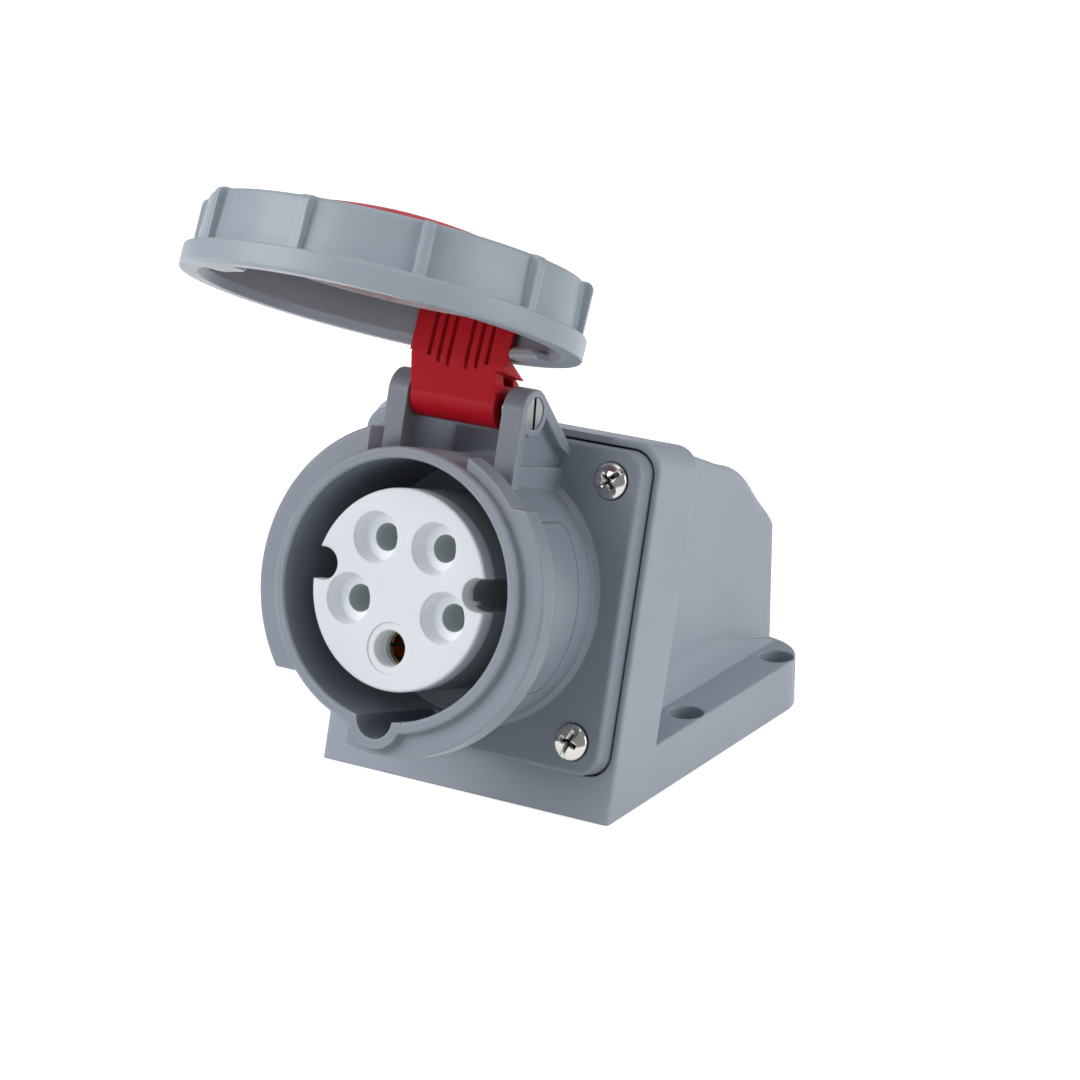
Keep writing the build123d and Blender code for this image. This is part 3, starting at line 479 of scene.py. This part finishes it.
# the bayonet ring, in mm from the socket's origin when the lid is shut
ringSizes = {"mouth": 36.5, "depth": 18.6, "inner": 43.4, "band": 49.4, "bandHeight": 5.8, "wall": 46.6,
             "top": 46.0, "lipInner": 39.6, "lipThick": 1.9, "discThick": 2.2, "beadDrop": 0.7,
             "beadRise": 0.6, "chamferWide": 1.4, "chamferHigh": 2.2, "turns": 160,
             "ribs": 10, "ribPhase": 22.8, "ribWidth": 2.9, "ribCrest": 2.3, "ribRise": 1.8, "ribRound": 1.7,
             "ribSink": 0.6, "ribShort": 0.05, "ribRoot": 1.6, "ribSteps": 6,
             "lugAngle": 58.8, "lugHalf": 10.0, "lugInner": 38.8, "lugThick": 2.6, "lugRaise": 0.15,
             "lugRoot": 1.6, "lugRampFrom": 0.55, "lugRampOut": 1.6, "lugRampDrop": 0.9, "lugSteps": 16,
             "lugLowWide": 0.5, "lugLowHigh": 0.6, "lugTopEdge": 0.7}


def ringProfile(size):
    mouth = size["mouth"]
    top = mouth + size["depth"]
    lipLow = top - size["lipThick"]
    disc = lipLow - size["discThick"]
    bead = disc - size["beadDrop"]
    inner = size["inner"]
    bandTop = mouth + size["bandHeight"]
    return roundPath([
        (inner + size["chamferWide"], mouth, 0.3), (inner, mouth + size["chamferHigh"], 0.4),
        (inner, bead - size["beadRise"], 0.2), (inner - size["beadRise"], bead, 0.25),
        (inner, bead + size["beadRise"], 0.1), (inner, lipLow, 0.3), (size["lipInner"], lipLow, 0.2),
        (size["lipInner"], top, 0.5), (size["top"], top, 1.1), (size["wall"], bandTop, 0.5),
        (size["band"], bandTop, 0.7), (size["band"], mouth, 0.9)])


def ribPrototype(size):
    bm = bmesh.new()
    low = size["mouth"] + size["bandHeight"] - size["ribSink"]
    top = size["mouth"] + size["depth"] - size["ribShort"]
    inner = size["wall"] - size["ribRoot"]
    crest = size["wall"] + size["ribRise"]
    turn = size["ribRound"]
    levels = [(low, crest)]
    for step in range(size["ribSteps"] + 1):
        t = step / size["ribSteps"] * pi / 2
        levels.append((top - turn + turn * sin(t), crest - turn + turn * cos(t)))
    root = size["ribWidth"] / 2
    rows = []
    for height, out in levels:
        share = (out - inner) / (crest - inner)
        wide = (size["ribWidth"] + (size["ribCrest"] - size["ribWidth"]) * share) / 2
        corners = ((inner, -root, height), (out, -wide, height), (out, wide, height), (inner, root, height))
        rows.append([bm.verts.new(corner) for corner in corners])
    skinRows(bm, rows)
    addCaps(bm, rows)
    return meshPiece("ribPrototype", bm, "ringGrey", sharp=50)


def addLug(bm, size, middle):
    root = size["inner"] + size["lugRoot"]
    low = size["mouth"] + size["lugRaise"]
    high = low + size["lugThick"]
    rows = []
    for step in range(size["lugSteps"] + 1):
        t = step / size["lugSteps"] * 2 - 1
        angle = radians(middle) + radians(size["lugHalf"]) * t
        ramp = max(0.0, abs(t) - size["lugRampFrom"]) / (1 - size["lugRampFrom"])
        inner = size["lugInner"] + size["lugRampOut"] * ramp ** 2
        top = high - size["lugRampDrop"] * ramp ** 2
        outline = ((root, low), (inner + size["lugLowWide"], low), (inner, low + size["lugLowHigh"]),
                   (inner, top - size["lugTopEdge"]), (inner + size["lugTopEdge"], top), (root, top))
        rows.append([bm.verts.new(onCircle(r, angle, h)) for r, h in outline])
    skinRows(bm, rows)
    addCaps(bm, rows)


def makeRing(size):
    bm = bmesh.new()
    profile = ringProfile(size)
    angles = [2 * pi * index / size["turns"] for index in range(size["turns"])]
    rows = [[bm.verts.new(onCircle(r, angle, h)) for r, h in profile] for angle in angles]
    skinRows(bm, rows, closed=True)
    for middle in (size["lugAngle"], size["lugAngle"] + 180):
        addLug(bm, size, middle)
    ring = meshPiece("lidRing", bm, "ringGrey")
    rib = ribPrototype(size)
    tree, given, identifiers = newNodeTree("gripRibs", [
        ("Ribs", "Int"), ("Phase", "Float"), ("Finish", "Material")])
    pitch = mathNode(tree, "DIVIDE", 2 * pi, given["Ribs"])
    index = geoNode(tree, "InputIndex").outputs[0]
    turned = mathNode(tree, "MULTIPLY_ADD", index, pitch, given["Phase"])
    spin = addNode(tree, "CombineXYZ", ("Z", turned))
    points = geoNode(tree, "MeshLine", ("Count", given["Ribs"]), ("Offset", (0, 0, 0)))
    source = geoNode(tree, "ObjectInfo")
    source.inputs["Object"].default_value = rib
    copies = geoNode(tree, "InstanceOnPoints", ("Points", points.outputs[0]),
                     ("Instance", source.outputs["Geometry"]), ("Rotation", spin.outputs[0]))
    joined = geoNode(tree, "JoinGeometry", (0, copies.outputs[0]), (0, given["Geometry"]))
    endTree(tree, joined.outputs[0], given["Finish"])
    runTree(ring, tree, identifiers, {
        "Ribs": size["ribs"], "Phase": radians(size["ribPhase"]), "Finish": finishes["ringGrey"]})
    bpy.data.objects.remove(rib)
    ring.data.transform(lidMatrix)
    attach(ring, "ring")
    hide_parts("lid_ring")


makeRing(ringSizes)
print("bayonet ring made")


# the four flange screws, in mm: pan heads with a slot across a cross recess
screwSizes = {"pitch": 66.5, "seat": 5.6, "head": 4.75, "rise": 2.75, "rim": 0.85, "foot": 0.15, "facets": 56,
              "domeSteps": 14, "domePower": 0.86, "slot": 1.4, "slotDeep": 1.2, "cross": 1.7,
              "crossReach": 3.2, "crossDeep": 2.4, "crossTaper": 1.6, "crossSink": 0.15,
              "cutAbove": 1.5, "sideShare": 0.35, "shaft": 2.4, "length": 19.0, "turns": (38, -36, 70, 42)}


# a block that cuts a slot or one arm of the cross: shorter at its foot by the taper, and less so in width
def cutter(name, size, wide, long, top, deep, taper=0.0):
    bm = bmesh.new()
    rows = []
    for level, shrink in ((top + size["cutAbove"], 0.0), (top - deep, taper)):
        x, y = long / 2 - shrink, wide / 2 - shrink * size["sideShare"]
        rows.append([bm.verts.new((side * x, end * y, level))
                     for side, end in ((-1, -1), (1, -1), (1, 1), (-1, 1))])
    skinRows(bm, rows)
    addCaps(bm, rows)
    return meshPiece(name, bm, "screwNickel")


def screwHead(size):
    bm = bmesh.new()
    head, dome = size["head"], size["rise"] - size["rim"]
    outline = [(head - size["foot"], 0), (head, size["foot"]), (head, size["rim"])]
    for k in range(1, size["domeSteps"]):
        t = k / size["domeSteps"] * pi / 2
        outline.append((head * cos(t) ** size["domePower"], size["rim"] + dome * sin(t)))
    angles = [2 * pi * index / size["facets"] for index in range(size["facets"])]
    rows = [[bm.verts.new(onCircle(r, angle, h)) for angle in angles] for r, h in outline]
    skinRows(bm, rows)
    for row, height in ((rows[0], 0), (rows[-1], size["rise"])):
        pole = bm.verts.new((0, 0, height))
        for first, second in zip(row, row[1:] + row[:1]):
            bm.faces.new((pole, first, second))
    piece = meshPiece("screwHead", bm, "screwNickel", sharp=60)
    crossTop = size["rise"] - size["crossSink"]
    arm = (size, size["cross"], 2 * size["crossReach"], crossTop, size["crossDeep"], size["crossTaper"])
    tools = [cutter("slotCut", size, size["slot"], 3 * head, size["rise"], size["slotDeep"]),
             cutter("crossCutA", *arm), cutter("crossCutB", *arm)]
    tools[2].data.transform(Matrix.Rotation(pi / 2, 4, "Z"))
    for tool in tools:
        modifier = piece.modifiers.new("cut", "BOOLEAN")
        modifier.operation = "DIFFERENCE"
        modifier.object = tool
        modifier.solver = "EXACT"
    bakePiece(piece)
    for tool in tools:
        bpy.data.objects.remove(tool)
    return piece


def makeScrews(size):
    head = screwHead(size)
    tree, given, identifiers = newNodeTree("cornerScrews", [
        ("Pitch", "Float"), ("Shaft", "Float"), ("Length", "Float"), ("Finish", "Material")])
    corners = geoNode(tree, "MeshGrid", ("Size X", given["Pitch"]), ("Size Y", given["Pitch"]),
                      ("Vertices X", 2), ("Vertices Y", 2))
    index = geoNode(tree, "InputIndex").outputs[0]
    turned = 0.0
    for number, angle in enumerate(size["turns"]):
        same = mathNode(tree, "COMPARE", index, number, 0.1)
        part = mathNode(tree, "MULTIPLY", same, radians(angle))
        turned = mathNode(tree, "ADD", turned, part)
    spin = addNode(tree, "CombineXYZ", ("Z", turned))
    source = geoNode(tree, "ObjectInfo")
    source.inputs["Object"].default_value = head
    shaft = geoNode(tree, "MeshCylinder", ("Vertices", 32), ("Radius", given["Shaft"]),
                    ("Depth", given["Length"]))
    down = addNode(tree, "CombineXYZ", ("Z", mathNode(tree, "MULTIPLY", given["Length"], -0.5)))
    lowered = geoNode(tree, "Transform", ("Geometry", shaft.outputs[0]), ("Translation", down.outputs[0]))
    whole = geoNode(tree, "JoinGeometry", (0, source.outputs["Geometry"]), (0, lowered.outputs[0]))
    copies = geoNode(tree, "InstanceOnPoints", ("Points", corners.outputs[0]),
                     ("Instance", whole.outputs[0]), ("Rotation", spin.outputs[0]))
    endTree(tree, copies.outputs[0], given["Finish"])
    piece = linkObject("flangeScrews", bpy.data.meshes.new("flangeScrews"))
    runTree(piece, tree, identifiers, {
        "Pitch": size["pitch"] * mm, "Shaft": size["shaft"] * mm, "Length": size["length"] * mm,
        "Finish": finishes["screwNickel"]})
    bpy.data.objects.remove(head)
    piece.data.transform(socketMatrix @ Matrix.Translation((0, 0, size["seat"] * mm)))
    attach(piece, "housing")
    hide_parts("flange_screws")


makeScrews(screwSizes)
print("flange screws made")


white = (1, 1, 1, 1)
floorLook = {"size": 6.0, "drop": -0.0003, "colour": (0.72, 0.72, 0.72), "roughness": 0.9, "glow": 0.75}


# the floor is paler to the camera and in reflections than it is to the object
def makeFloor(look):
    half = look["size"] / 2
    mesh = bpy.data.meshes.new("studioFloor")
    mesh.from_pydata([(-half, -half, 0), (half, -half, 0), (half, half, 0), (-half, half, 0)], [],
                     [(0, 1, 2, 3)])
    floor = linkObject("studioFloor", mesh)
    floor.location.z = look["drop"]
    material, tree, shader = startMaterial("studioFloor")
    feed(tree, shader["Base Color"], look["colour"] + (1,))
    feed(tree, shader["Roughness"], look["roughness"])
    feed(tree, shader["Specular IOR Level"], 0.0)
    surface = tree.nodes["Principled BSDF"].outputs[0]
    glow = addNode(tree, "Emission", ("Color", white), ("Strength", look["glow"]))
    both = addNode(tree, "AddShader", (0, surface), (1, glow.outputs[0]))
    path = addNode(tree, "LightPath").outputs
    seen = mathNode(tree, "MAXIMUM", path["Is Camera Ray"], path["Is Glossy Ray"])
    blend = addNode(tree, "MixShader", (0, seen), (1, surface), (2, both.outputs[0]))
    feed(tree, tree.nodes["Material Output"].inputs[0], blend.outputs[0])
    mesh.materials.append(material)


makeFloor(floorLook)

roomLook = {"tint": (0.96, 0.98, 1.0), "strength": 0.37}


# the room lights the object evenly, and is white to the camera
def makeRoom(look):
    world = bpy.data.worlds.new("studioWorld")
    bpy.context.scene.world = world
    world.use_nodes = True
    tree = world.node_tree
    room = tree.nodes["Background"]
    feed(tree, room.inputs["Color"], look["tint"] + (1,))
    feed(tree, room.inputs["Strength"], look["strength"])
    back = addNode(tree, "Background", ("Color", white))
    path = addNode(tree, "LightPath").outputs
    seen = mathNode(tree, "MAXIMUM", path["Is Camera Ray"], path["Is Transmission Ray"])
    blend = addNode(tree, "MixShader", (0, seen), (1, room.outputs[0]), (2, back.outputs[0]))
    feed(tree, tree.nodes["World Output"].inputs[0], blend.outputs[0])


makeRoom(roomLook)

lightAim = (0.0, -0.03, 0.06)
softBoxes = {
    "rightBox": {"place": (1.25, 0.22, 0.36), "size": (0.8, 0.9), "power": 7.4},
    "leftBox": {"place": (-0.70, -1.05, 0.85), "size": (1.2, 1.0), "power": 14.0},
    "topBox": {"place": (0.1, -0.1, 1.3), "size": (0.8, 0.8), "power": 2.0},
}
for name, look in softBoxes.items():
    light = bpy.data.lights.new(name, "AREA")
    light.shape = "RECTANGLE"
    light.size, light.size_y = look["size"]
    light.energy = look["power"]
    lamp = linkObject(name, light)
    lamp.location = look["place"]
    lamp.rotation_euler = (Vector(lightAim) - Vector(look["place"])).to_track_quat("-Z", "Y").to_euler()
print("floor, room and lights set")

# the photograph's view, fitted: place in metres, angles in radians, focal length in pixels of the frame
view = {"place": (0.47371928, -0.80644106, 0.35923569), "yaw": 0.55152, "pitch": -0.3221, "roll": 0.00518,
        "focal": 3648.03622, "frame": 1080, "sensor": 36.0, "nearest": 0.05}
yaw, pitch, roll = view["yaw"], view["pitch"], view["roll"]
camera = bpy.data.cameras.new("photoCamera")
camera.sensor_width = view["sensor"]
camera.lens = view["focal"] / view["frame"] * camera.sensor_width
camera.clip_start = view["nearest"]
cameraObject = linkObject("photoCamera", camera)
forward = Vector((-sin(yaw) * cos(pitch), cos(yaw) * cos(pitch), sin(pitch)))
sideways = Vector((cos(yaw), sin(yaw), 0))
upward = sideways.cross(forward)
across = sideways * cos(roll) + upward * sin(roll)
upright = upward * cos(roll) - sideways * sin(roll)
turn = Matrix((across, upright, -forward)).transposed()
cameraObject.matrix_world = Matrix.Translation(view["place"]) @ turn.to_4x4()
bpy.context.scene.camera = cameraObject
bpy.context.scene.view_settings.view_transform = "Standard"
print("camera set, lens", round(camera.lens, 2))
